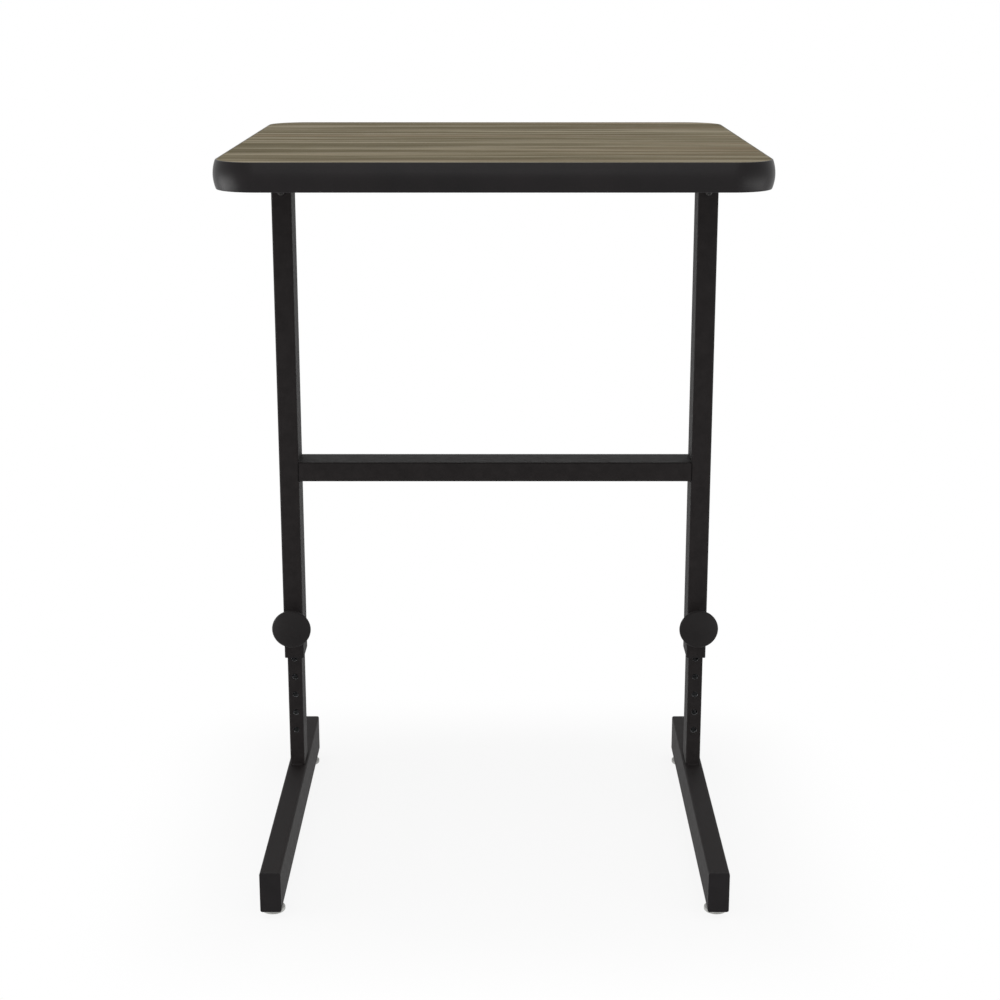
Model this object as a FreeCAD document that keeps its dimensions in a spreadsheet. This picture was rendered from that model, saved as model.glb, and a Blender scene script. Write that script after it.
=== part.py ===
import FreeCAD, Part
import math
import os

import Sketcher
from FreeCAD import Vector

# Standing desk whose frame slides on two inner legs and is held by spring pull pins.
# Frame: origin on the floor under the middle of the top, +X right, +Y back, +Z up.

# Driving sizes, in millimetres and counts.
SIZES = {
    # Top: a laminated board with a crowned moulding pressed into its edge.
    "top_width": 609.6,
    "top_depth": 609.6,
    "top_thickness": 31.75,
    "corner_radius": 50.8,
    "laminate_thickness": 1.0,
    "backer_thickness": 0.6,
    "edge_flange": 1.5,
    "edge_crown": 3.0,
    "barb_length": 9.0,
    "barb_thickness": 2.2,
    "kerf_spare": 1.0,
    # Clearances: between pieces that slide or turn, between pieces that seat, and past a cut wall.
    "running_gap": 0.3,
    "fit_gap": 0.1,
    "cut_margin": 2.0,
    # Uprights, and the crossbar between them.
    "leg_inset": 36.5,
    "leg_setback": 98.4,
    "tube_width": 25.4,
    "tube_depth": 50.8,
    "tube_wall": 1.6,
    "tube_inside_corner": 1.0,
    "upright_length": 652.0,
    "bar_height": 25.4,
    "bar_rise": 241.4,
    "bar_weld": 2.5,
    # Sleeve in the lower end of each upright.
    "bush_wall": 1.175,
    "bush_to_pin": 8.0,
    "bush_lip": 1.6,
    # Plates and plugs that carry the top.
    "plate_width": 46.0,
    "plate_length": 160.0,
    "plate_thickness": 3.0,
    "plate_corner": 6.0,
    "plug_length": 60.0,
    "plug_wall": 2.0,
    "screw_inset_x": 9.0,
    "screw_inset_y": 15.0,
    "screw_diameter": 4.2,
    "screw_length": 20.0,
    "screw_tip": 4.0,
    "screw_head_diameter": 8.6,
    "screw_head_height": 2.8,
    "screw_head_crown": 2.15,
    "plug_screw_drop": 36.0,
    "plug_screw_diameter": 5.0,
    "plug_screw_end": 3.0,
    "plug_screw_head_diameter": 8.5,
    "plug_screw_head_height": 2.4,
    "plug_screw_crown": 1.25,
    "plug_screw_key": 3.0,
    "plug_screw_key_depth": 1.4,
    # Inner legs, with the row of holes for the pins.
    "inner_wall": 1.6,
    "inner_inside_corner": 0.8,
    "inner_length": 560.0,
    "hole_diameter": 8.0,
    "hole_pitch": 25.4,
    "hole_count": 17,
    "first_hole": 50.8,
    "rest_hole": 6,
    "guide_flange": 6.0,
    "guide_plug": 18.0,
    "leg_weld": 1.8,
    # Pull pins.
    "pin_height": 47.0,
    "pin_stroke_in": 4.8,
    "pin_tip_chamfer": 1.0,
    "collar_gap": 0.4,
    "pin_collar_thickness": 1.2,
    "stem_diameter": 5.0,
    "barrel_diameter": 17.0,
    "barrel_bore": 11.0,
    "barrel_floor": 2.2,
    "barrel_weld": 2.0,
    "barrel_cap_thickness": 2.1,
    "spring_wire": 0.8,
    "spring_gap": 0.9,
    "spring_length": 7.6,
    "spring_turns": 4,
    # Knobs.
    "knob_diameter": 50.8,
    "knob_reach": 6.0,
    "knob_rim": 7.0,
    "knob_dome": 4.5,
    "knob_recess_gap": 1.5,
    "knob_recess_depth": 2.8,
    "knob_cover": 2.2,
    # Feet and their end caps.
    "foot_length": 514.4,
    "foot_width": 25.4,
    "foot_height": 50.8,
    "foot_wall": 1.6,
    "foot_inside_corner": 1.0,
    "cap_flange": 2.0,
    "cap_plug": 14.0,
    "cap_plug_wall": 2.0,
    "cap_edge": 0.8,
    # Levelling glides.
    "glide_height": 9.5,
    "nut_to_cap": 4.5,
    "pad_diameter": 28.6,
    "pad_rim": 4.5,
    "pad_edge": 1.5,
    "pad_hub_wall": 2.2,
    "pad_hub_height": 7.0,
    "pad_shoulder": 6.0,
    "pad_floor": 2.0,
    "glide_flange_diameter": 11.0,
    "glide_flange_thickness": 2.5,
    "glide_thread": 8.0,
    "glide_stem_length": 38.0,
    "glide_stem_chamfer": 1.0,
    "nut_width": 13.0,
    "nut_height": 6.5,
}

doc = FreeCAD.newDocument("standing_desk")
sizes = doc.addObject("Spreadsheet::Sheet", "sizes")
for row, (alias, number) in enumerate(SIZES.items(), start=1):
    sizes.set(f"A{row}", str(number))
    sizes.setAlias(f"A{row}", alias)
doc.recompute()

# Lines and sizes that several pieces share, as expressions on the sheet.
LEG_X = "(sizes.top_width / 2 - sizes.leg_inset)"
FRONT_FACE = "(sizes.leg_setback - sizes.tube_depth / 2)"
FOOT_TOP = "(sizes.glide_height + sizes.foot_height)"
PIN_Z = f"({FOOT_TOP} + sizes.first_hole + sizes.rest_hole * sizes.hole_pitch)"
UPRIGHT_END = f"({PIN_Z} - sizes.pin_height)"
UPRIGHT_TOP = f"({UPRIGHT_END} + sizes.upright_length)"
UNDERSIDE = f"({UPRIGHT_TOP} + sizes.plate_thickness)"

EDGE = "(sizes.edge_flange + sizes.edge_crown)"
CORE_WIDTH = f"(sizes.top_width - 2 * {EDGE})"
CORE_DEPTH = f"(sizes.top_depth - 2 * {EDGE})"
CORE_CORNER = f"(sizes.corner_radius - {EDGE})"
CORE_THICKNESS = "(sizes.top_thickness - sizes.laminate_thickness - sizes.backer_thickness)"
SCREW_HOLE = "(sizes.screw_diameter + 2 * sizes.fit_gap)"
SCREW_X = "(sizes.plate_width / 2 - sizes.screw_inset_x)"
SCREW_Y = "(sizes.plate_length / 2 - sizes.screw_inset_y)"
SCREW_REACH = "(sizes.screw_length - sizes.plate_thickness - sizes.backer_thickness)"

TUBE_CORNER = "(sizes.tube_inside_corner + sizes.tube_wall)"
BORE_WIDTH = "(sizes.tube_width - 2 * sizes.tube_wall)"
BORE_DEPTH = "(sizes.tube_depth - 2 * sizes.tube_wall)"
SEAT_WIDTH = f"({BORE_WIDTH} - 2 * sizes.fit_gap)"
SEAT_DEPTH = f"({BORE_DEPTH} - 2 * sizes.fit_gap)"
SEAT_CORNER = "(sizes.tube_inside_corner - sizes.fit_gap)"
PLUG_SCREW_HOLE = "(sizes.plug_screw_diameter + 2 * sizes.fit_gap)"

SLIDE_WIDTH = f"({SEAT_WIDTH} - 2 * sizes.bush_wall)"
SLIDE_DEPTH = f"({SEAT_DEPTH} - 2 * sizes.bush_wall)"
INNER_WIDTH = f"({SLIDE_WIDTH} - 2 * sizes.running_gap)"
INNER_DEPTH = f"({SLIDE_DEPTH} - 2 * sizes.running_gap)"
INNER_CORNER = "(sizes.inner_inside_corner + sizes.inner_wall)"
SLIDE_CORNER = f"({INNER_CORNER} + sizes.running_gap)"

PIN_DIAMETER = "(sizes.hole_diameter - 2 * sizes.running_gap)"
PIN_TIP = f"((sizes.tube_depth - {INNER_DEPTH}) / 2 - sizes.running_gap)"
COLLAR_BACK = "(sizes.barrel_floor + sizes.fit_gap + sizes.pin_stroke_in)"
COLLAR_FRONT = f"({COLLAR_BACK} + sizes.pin_collar_thickness)"
CAP_BACK = f"({COLLAR_FRONT} + sizes.spring_length)"
BARREL_LENGTH = f"({CAP_BACK} + sizes.barrel_cap_thickness)"
SPRING_DIAMETER = "(sizes.barrel_bore - 2 * sizes.spring_gap - sizes.spring_wire)"
KNOB_RIM_RADIUS = "(sizes.knob_rim / 2)"
KNOB_WIDEST = f"({BARREL_LENGTH} + sizes.knob_reach)"
KNOB_FRONT = f"({KNOB_WIDEST} + {KNOB_RIM_RADIUS} + sizes.knob_dome)"
KNOB_BACK = f"({KNOB_WIDEST} - {KNOB_RIM_RADIUS})"
KNOB_SEAT = f"({KNOB_BACK} + sizes.knob_recess_depth)"

FOOT_CORNER = "(sizes.foot_inside_corner + sizes.foot_wall)"
FOOT_TUBE_LENGTH = "(sizes.foot_length - 2 * sizes.cap_flange)"
NUT_END = f"({FOOT_TUBE_LENGTH} / 2 - sizes.cap_plug - sizes.nut_to_cap)"
GLIDE_Y = f"({NUT_END} - sizes.nut_width / 2)"
SOCKET_RADIUS = "(sizes.glide_flange_diameter / 2 + sizes.running_gap)"
FLANGE_BASE = "(sizes.pad_floor + sizes.running_gap)"

SIDES = {"left": -1, "right": 1}
ENDS = {"front": -1, "rear": 1}
nodes = []


def size(expression):
    """The value that an expression on the sheet has now."""
    return float(sizes.evalExpression(expression))


def new_body(name):
    """An empty body whose name is its label."""
    body = doc.addObject("PartDesign::Body", name)
    body.Label = name
    return body


def place(piece, x="0", y="0", z="0"):
    """Tie a piece's position to the sheet."""
    for axis, expression in zip("xyz", (x, y, z)):
        piece.setExpression(f"Placement.Base.{axis}", expression)


def origin_feature(body, role):
    """One of the body's own origin planes or axes."""
    return next(feature for feature in body.Origin.OriginFeatures if feature.Role == role)


def new_sketch(body, role, offset="0"):
    """A sketch on an origin plane of the body, moved along the plane's normal."""
    sketch = body.newObject("Sketcher::SketchObject", f"{body.Name}_sketch")
    sketch.AttachmentSupport = [(origin_feature(body, role), "")]
    sketch.MapMode = "FlatFace"
    sketch.setExpression("AttachmentOffset.Base.z", offset)
    return sketch


def hold(sketch, kind, where, expression):
    """Add a dimension to a sketch and tie it to the sheet."""
    constraint = Sketcher.Constraint(kind, *where, size(expression))
    index = sketch.addConstraint(constraint)
    sketch.setExpression(f"Constraints[{index}]", expression)


def convex_arc(start, end, radius):
    """The anticlockwise arc of a radius between two points, its centre left of the way between them."""
    along = end - start
    inward = math.sqrt(radius ** 2 - (along.Length / 2) ** 2)
    left = Vector(-along.y, along.x, 0).normalize()
    centre = (start + end) / 2 + left * inward
    first = math.atan2(start.y - centre.y, start.x - centre.x)
    last = math.atan2(end.y - centre.y, end.x - centre.x)
    if last < first:
        last += 2 * math.pi
    return Part.ArcOfCircle(Part.Circle(centre, Vector(0, 0, 1), radius), first, last)


def outline(sketch, points, arcs=None):
    """Draw a closed outline, anticlockwise, through points given as pairs of expressions.

    arcs gives the radius of each edge that is a convex arc, by the number of its first point.
    """
    arcs = arcs or {}
    base = sketch.GeometryCount
    spots = [Vector(size(x), size(y), 0) for x, y in points]
    for number, start in enumerate(spots):
        end = spots[(number + 1) % len(spots)]
        if number in arcs:
            sketch.addGeometry(convex_arc(start, end, size(arcs[number])))
        else:
            sketch.addGeometry(Part.LineSegment(start, end))
    for number, (x, y) in enumerate(points):
        edge = base + number
        following = base + (number + 1) % len(points)
        sketch.addConstraint(Sketcher.Constraint("Coincident", edge, 2, following, 1))
        hold(sketch, "DistanceX", (-1, 1, edge, 1), x)
        hold(sketch, "DistanceY", (-1, 1, edge, 1), y)
    for number, radius in arcs.items():
        hold(sketch, "Radius", (base + number,), radius)


def rounded_rectangle(sketch, width, height, corner):
    """Draw a rectangle about the sketch's origin with four equal corner arcs."""
    base = sketch.GeometryCount
    radius = size(corner)
    right = size(width) / 2 - radius
    top = size(height) / 2 - radius
    centres = [Vector(right, -top, 0), Vector(right, top, 0), Vector(-right, top, 0), Vector(-right, -top, 0)]
    outward = [Vector(0, -1, 0), Vector(1, 0, 0), Vector(0, 1, 0), Vector(-1, 0, 0)]
    for number, centre in enumerate(centres):
        side = outward[number] * radius
        sketch.addGeometry(Part.LineSegment(centres[number - 1] + side, centre + side))
        turn = (number - 1) * math.pi / 2
        circle = Part.Circle(centre, Vector(0, 0, 1), radius)
        sketch.addGeometry(Part.ArcOfCircle(circle, turn, turn + math.pi / 2))
    bottom, right_side, top_side, left_side = (base + 2 * number for number in range(4))
    for number in range(4):
        line = base + 2 * number
        following = base + 2 * ((number + 1) % 4)
        sketch.addConstraint(Sketcher.Constraint("Tangent", line, 2, line + 1, 1))
        sketch.addConstraint(Sketcher.Constraint("Tangent", line + 1, 2, following, 1))
    for line in (bottom, top_side):
        sketch.addConstraint(Sketcher.Constraint("Horizontal", line))
    for line in (right_side, left_side):
        sketch.addConstraint(Sketcher.Constraint("Vertical", line))
    for line in (right_side, top_side, left_side):
        sketch.addConstraint(Sketcher.Constraint("Equal", bottom + 1, line + 1))
    hold(sketch, "Radius", (bottom + 1,), corner)
    hold(sketch, "DistanceX", (-1, 1, right_side, 1), f"{width} / 2")
    hold(sketch, "DistanceX", (-1, 1, left_side, 1), f"-{width} / 2")
    hold(sketch, "DistanceY", (-1, 1, top_side, 1), f"{height} / 2")
    hold(sketch, "DistanceY", (-1, 1, bottom, 1), f"-{height} / 2")


def hole(sketch, x, y, diameter):
    """Draw a circle."""
    circle = Part.Circle(Vector(size(x), size(y), 0), Vector(0, 0, 1), size(diameter) / 2)
    edge = sketch.addGeometry(circle)
    hold(sketch, "DistanceX", (-1, 1, edge, 3), x)
    hold(sketch, "DistanceY", (-1, 1, edge, 3), y)
    hold(sketch, "Diameter", (edge,), diameter)


def hexagon(sketch, across_flats):
    """Draw a regular hexagon about the sketch's origin."""
    reach = f"{across_flats} / sqrt(3)"
    outline(sketch, [(f"{reach} * cos({60 * n} deg)", f"{reach} * sin({60 * n} deg)") for n in range(6)])


def pad(body, sketch, length, symmetric=False, backwards=False):
    """Extrude a sketch along its normal, both ways about its plane, or against its normal."""
    feature = body.newObject("PartDesign::Pad", f"{body.Name}_pad")
    feature.Profile = sketch
    feature.SideType = "Symmetric" if symmetric else "One side"
    feature.Reversed = backwards
    feature.setExpression("Length", length)
    return feature


def pocket(body, sketch, depth, along_normal=False):
    """Cut a sketch into the body, against its normal or along it, and see that it removed something."""
    doc.recompute()
    before = body.Shape.Volume
    feature = body.newObject("PartDesign::Pocket", f"{body.Name}_pocket")
    feature.Profile = sketch
    feature.Reversed = along_normal
    feature.setExpression("Length", depth)
    doc.recompute()
    if not body.Shape.Volume < before:
        raise RuntimeError(f"{feature.Name} cuts nothing")
    return feature


def turned(name, role, points, arcs=None):
    """A turned piece: an outline revolved about the upright axis of its sketch."""
    body = new_body(name)
    sketch = new_sketch(body, role)
    outline(sketch, points, arcs)
    feature = body.newObject("PartDesign::Revolution", f"{name}_revolution")
    feature.Profile = sketch
    feature.ReferenceAxis = (sketch, ["V_Axis"])
    feature.Angle = 360
    return body


def group(name, pieces):
    """One node of several like pieces."""
    compound = doc.addObject("Part::Compound", name)
    compound.Label = name
    compound.Links = pieces
    nodes.append(compound)


def slab(name, thickness, bottom):
    """A board with the top's outline inside the edge moulding."""
    body = new_body(name)
    sketch = new_sketch(body, "XY_Plane")
    rounded_rectangle(sketch, CORE_WIDTH, CORE_DEPTH, CORE_CORNER)
    pad(body, sketch, thickness)
    place(body, z=bottom)
    return body


def screw_places():
    """Where the top screws stand: four about each leg."""
    for side in SIDES.values():
        for across in (-1, 1):
            for along in (-1, 1):
                x = f"({side} * {LEG_X} + {across} * {SCREW_X})"
                y = f"(sizes.leg_setback + {along} * {SCREW_Y})"
                yield x, y


def screw_holes(body, depth):
    """Cut the top screws' holes up into a board from its lower face."""
    sketch = new_sketch(body, "XY_Plane")
    for x, y in screw_places():
        hole(sketch, x, y, SCREW_HOLE)
    pocket(body, sketch, depth, along_normal=True)


def make_top():
    """The board: core with an edge kerf, laminate above it and balancing sheet under it."""
    backer = slab("top_backer", "sizes.backer_thickness", UNDERSIDE)
    screw_holes(backer, "sizes.backer_thickness")
    core = slab("top_core", CORE_THICKNESS, f"{UNDERSIDE} + sizes.backer_thickness")
    screw_holes(core, f"{SCREW_REACH} + sizes.fit_gap")
    kerf = "(sizes.barb_thickness + 2 * sizes.fit_gap)"
    kerf_depth = "(sizes.barb_length + sizes.kerf_spare)"
    kerf_base = f"sizes.top_thickness / 2 - sizes.backer_thickness - {kerf} / 2"
    sketch = new_sketch(core, "XY_Plane", kerf_base)
    rounded_rectangle(
        sketch,
        f"({CORE_WIDTH} + 2 * sizes.cut_margin)",
        f"({CORE_DEPTH} + 2 * sizes.cut_margin)",
        f"({CORE_CORNER} + sizes.cut_margin)",
    )
    rounded_rectangle(
        sketch,
        f"({CORE_WIDTH} - 2 * {kerf_depth})",
        f"({CORE_DEPTH} - 2 * {kerf_depth})",
        f"({CORE_CORNER} - {kerf_depth})",
    )
    pocket(core, sketch, kerf, along_normal=True)
    laminate_base = f"{UNDERSIDE} + sizes.top_thickness - sizes.laminate_thickness"
    laminate = slab("top_laminate", "sizes.laminate_thickness", laminate_base)
    nodes.extend([core, laminate, backer])


def make_edge_moulding():
    """The edge moulding: a T section with a crowned face, carried round the board."""
    body = new_body("edge_moulding")
    path = new_sketch(body, "XY_Plane")
    rounded_rectangle(path, CORE_WIDTH, CORE_DEPTH, CORE_CORNER)
    section = new_sketch(body, "XZ_Plane")
    face = f"({CORE_WIDTH} / 2)"
    barb = f"({face} - sizes.barb_length)"
    lip = f"({face} + sizes.edge_flange)"
    half = "(sizes.top_thickness / 2)"
    half_barb = "(sizes.barb_thickness / 2)"
    points = [
        (face, f"-{half}"),
        (lip, f"-{half}"),
        (lip, half),
        (face, half),
        (face, half_barb),
        (barb, half_barb),
        (barb, f"-{half_barb}"),
        (face, f"-{half_barb}"),
    ]
    crown = f"({half} * {half} + sizes.edge_crown * sizes.edge_crown) / (2 * sizes.edge_crown)"
    outline(section, points, {1: crown})
    doc.recompute()
    pipe = body.newObject("PartDesign::AdditivePipe", "edge_moulding_pipe")
    pipe.Profile = section
    pipe.Spine = (path, [f"Edge{n + 1}" for n in range(len(path.Shape.Edges))])
    place(body, z=f"{UNDERSIDE} + {half}")
    nodes.append(body)


def tube(body, role, outer, bore, length, symmetric=False):
    """Extrude a hollow section: outer and bore each give a width, a height and a corner radius."""
    sketch = new_sketch(body, role)
    rounded_rectangle(sketch, *outer)
    rounded_rectangle(sketch, *bore)
    pad(body, sketch, length, symmetric)


def front_holes(body, front, holes, depth):
    """Cut round holes into a tube's front wall: each has a height and a diameter."""
    sketch = new_sketch(body, "XZ_Plane", front)
    for height, diameter in holes:
        hole(sketch, "0", height, diameter)
    return pocket(body, sketch, depth)


def make_upright(name, x):
    """An upright: a rectangular tube with a pin hole low down and a screw hole near its top."""
    body = new_body(name)
    outer = ("sizes.tube_width", "sizes.tube_depth", TUBE_CORNER)
    bore = (BORE_WIDTH, BORE_DEPTH, "sizes.tube_inside_corner")
    tube(body, "XY_Plane", outer, bore, "sizes.upright_length")
    pin_hole = ("sizes.pin_height", f"({PIN_DIAMETER} + 2 * sizes.running_gap)")
    screw_hole = ("(sizes.upright_length - sizes.plug_screw_drop)", PLUG_SCREW_HOLE)
    front_holes(body, "sizes.tube_depth / 2", [pin_hole, screw_hole], "sizes.tube_wall + sizes.cut_margin")
    place(body, x, "sizes.leg_setback", UPRIGHT_END)
    nodes.append(body)


def make_bush(name, x):
    """A sleeve that lines the upright's lower end, with a lip under the tube's end."""
    body = new_body(name)
    bore = (SLIDE_WIDTH, SLIDE_DEPTH, SLIDE_CORNER)
    length = "sizes.pin_height - sizes.hole_diameter / 2 - sizes.bush_to_pin"
    tube(body, "XY_Plane", (SEAT_WIDTH, SEAT_DEPTH, SEAT_CORNER), bore, length)
    lip = new_sketch(body, "XY_Plane")
    rounded_rectangle(lip, "sizes.tube_width", "sizes.tube_depth", TUBE_CORNER)
    rounded_rectangle(lip, *bore)
    pad(body, lip, "sizes.bush_lip", backwards=True)
    place(body, x, "sizes.leg_setback", UPRIGHT_END)
    nodes.append(body)


def make_top_plate(name, x):
    """A flat plate with four screw holes, on the upright's top end."""
    body = new_body(name)
    sketch = new_sketch(body, "XY_Plane")
    rounded_rectangle(sketch, "sizes.plate_width", "sizes.plate_length", "sizes.plate_corner")
    for across in (-1, 1):
        for along in (-1, 1):
            hole(sketch, f"{across} * {SCREW_X}", f"{along} * {SCREW_Y}", SCREW_HOLE)
    pad(body, sketch, "sizes.plate_thickness")
    place(body, x, "sizes.leg_setback", UPRIGHT_TOP)
    nodes.append(body)


def make_plug(name, x):
    """A short tube under the plate that enters the upright and takes its screw."""
    body = new_body(name)
    bore_width = f"({SEAT_WIDTH} - 2 * sizes.plug_wall)"
    bore_depth = f"({SEAT_DEPTH} - 2 * sizes.plug_wall)"
    bore = (bore_width, bore_depth, SEAT_CORNER)
    tube(body, "XY_Plane", (SEAT_WIDTH, SEAT_DEPTH, SEAT_CORNER), bore, "sizes.plug_length")
    screw_hole = ("(sizes.plug_length - sizes.plug_screw_drop)", PLUG_SCREW_HOLE)
    front_holes(body, f"{SEAT_DEPTH} / 2", [screw_hole], "sizes.plug_wall + sizes.cut_margin")
    place(body, x, "sizes.leg_setback", f"{UPRIGHT_TOP} - sizes.plug_length")
    nodes.append(body)


def make_top_screws():
    """Pan-head wood screws, driven up through the plates into the core."""
    shank = "(sizes.screw_diameter / 2)"
    head = "(sizes.screw_head_diameter / 2)"
    head_end = "-sizes.screw_head_height"
    crown = "sizes.screw_head_crown"
    points = [
        ("0", head_end),
        (f"{head} - {crown}", head_end),
        (head, f"-(sizes.screw_head_height - {crown})"),
        (head, "0"),
        (shank, "0"),
        (shank, "sizes.screw_length - sizes.screw_tip"),
        ("0", "sizes.screw_length"),
    ]
    screws = []
    for number, (x, y) in enumerate(screw_places(), start=1):
        screw = turned(f"top_screw_{number}", "XZ_Plane", points, {1: crown})
        place(screw, x, y, UPRIGHT_TOP)
        screws.append(screw)
    group("top_screws", screws)


def make_plug_screws():
    """Button-head screws with a hexagon key, through the uprights' front walls into the plugs."""
    shank = "(sizes.plug_screw_diameter / 2)"
    head = "(sizes.plug_screw_head_diameter / 2)"
    head_height = "sizes.plug_screw_head_height"
    crown = "sizes.plug_screw_crown"
    reach = "(sizes.tube_wall + sizes.fit_gap + sizes.plug_wall + sizes.plug_screw_end)"
    points = [
        ("0", f"-{head_height}"),
        (f"{head} - {crown}", f"-{head_height}"),
        (head, f"-({head_height} - {crown})"),
        (head, "0"),
        (shank, "0"),
        (shank, reach),
        ("0", reach),
    ]
    screws = []
    for side, sign in SIDES.items():
        screw = turned(f"{side}_plug_screw", "XY_Plane", points, {1: crown})
        key = new_sketch(screw, "XZ_Plane", head_height)
        hexagon(key, "sizes.plug_screw_key")
        pocket(screw, key, "sizes.plug_screw_key_depth")
        place(screw, f"{sign} * {LEG_X}", FRONT_FACE, f"{UPRIGHT_TOP} - sizes.plug_screw_drop")
        screws.append(screw)
    group("plug_screws", screws)


def make_crossbar():
    """The crossbar: a tube as deep as the uprights, between their facing sides."""
    body = new_body("crossbar")
    bore = (BORE_DEPTH, "(sizes.bar_height - 2 * sizes.tube_wall)", "sizes.tube_inside_corner")
    outer = ("sizes.tube_depth", "sizes.bar_height", TUBE_CORNER)
    tube(body, "YZ_Plane", outer, bore, f"2 * {LEG_X} - sizes.tube_width", symmetric=True)
    place(body, y="sizes.leg_setback", z=f"{UPRIGHT_END} + sizes.bar_rise + sizes.bar_height / 2")
    nodes.append(body)


def bead(name, role, inward, downward, weld, length):
    """A straight weld bead of triangular section in a corner: inward and downward are plus or minus 1."""
    body = new_body(name)
    sketch = new_sketch(body, role)
    outline(sketch, [("0", "0"), (f"{inward} * {weld}", "0"), ("0", f"{-downward} * {weld}")])
    pad(body, sketch, length, symmetric=True)
    return body


def make_crossbar_welds():
    """Weld beads under the crossbar's ends."""
    beads = []
    length = f"sizes.tube_depth - 2 * {TUBE_CORNER}"
    for side, sign in SIDES.items():
        body = bead(f"{side}_crossbar_weld", "XZ_Plane", -sign, 1, "sizes.bar_weld", length)
        x = f"{sign} * ({LEG_X} - sizes.tube_width / 2)"
        place(body, x, "sizes.leg_setback", f"{UPRIGHT_END} + sizes.bar_rise")
        beads.append(body)
    group("crossbar_welds", beads)


def make_leg_welds(side, x):
    """Weld beads before and behind an inner leg, on its foot."""
    beads = []
    length = f"{INNER_WIDTH} - 2 * {INNER_CORNER}"
    for end, sign in ENDS.items():
        body = bead(f"{side}_{end}_leg_weld", "YZ_Plane", sign, -1, "sizes.leg_weld", length)
        place(body, x, f"sizes.leg_setback + {sign} * {INNER_DEPTH} / 2", FOOT_TOP)
        beads.append(body)
    group(f"{side}_leg_welds", beads)


def make_inner_leg(name, x):
    """An inner leg: a narrower tube with a row of pin holes in its front wall."""
    body = new_body(name)
    bore_width = f"({INNER_WIDTH} - 2 * sizes.inner_wall)"
    bore_depth = f"({INNER_DEPTH} - 2 * sizes.inner_wall)"
    bore = (bore_width, bore_depth, "sizes.inner_inside_corner")
    tube(body, "XY_Plane", (INNER_WIDTH, INNER_DEPTH, INNER_CORNER), bore, "sizes.inner_length")
    lowest = ("sizes.first_hole", "sizes.hole_diameter")
    cut = front_holes(body, f"{INNER_DEPTH} / 2", [lowest], "sizes.inner_wall + sizes.cut_margin")
    row = body.newObject("PartDesign::LinearPattern", f"{name}_holes")
    row.Originals = [cut]
    row.Direction = (origin_feature(body, "Z_Axis"), [""])
    row.Mode = "Spacing"
    row.setExpression("Offset", "sizes.hole_pitch")
    row.setExpression("Occurrences", "sizes.hole_count")
    body.Tip = row
    place(body, x, "sizes.leg_setback", FOOT_TOP)
    nodes.append(body)


def make_guide_cap(name, x):
    """A cap in the inner leg's top end whose flange runs inside the upright."""
    body = new_body(name)
    stem = new_sketch(body, "XY_Plane")
    stem_width = f"({INNER_WIDTH} - 2 * sizes.inner_wall - 2 * sizes.fit_gap)"
    stem_depth = f"({INNER_DEPTH} - 2 * sizes.inner_wall - 2 * sizes.fit_gap)"
    rounded_rectangle(stem, stem_width, stem_depth, "(sizes.inner_inside_corner - sizes.fit_gap)")
    pad(body, stem, "sizes.guide_plug", backwards=True)
    flange = new_sketch(body, "XY_Plane")
    flange_width = f"({BORE_WIDTH} - 2 * sizes.running_gap)"
    flange_depth = f"({BORE_DEPTH} - 2 * sizes.running_gap)"
    rounded_rectangle(flange, flange_width, flange_depth, "sizes.tube_inside_corner")
    pad(body, flange, "sizes.guide_flange")
    place(body, x, "sizes.leg_setback", f"{FOOT_TOP} + sizes.inner_length")
    nodes.append(body)


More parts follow.
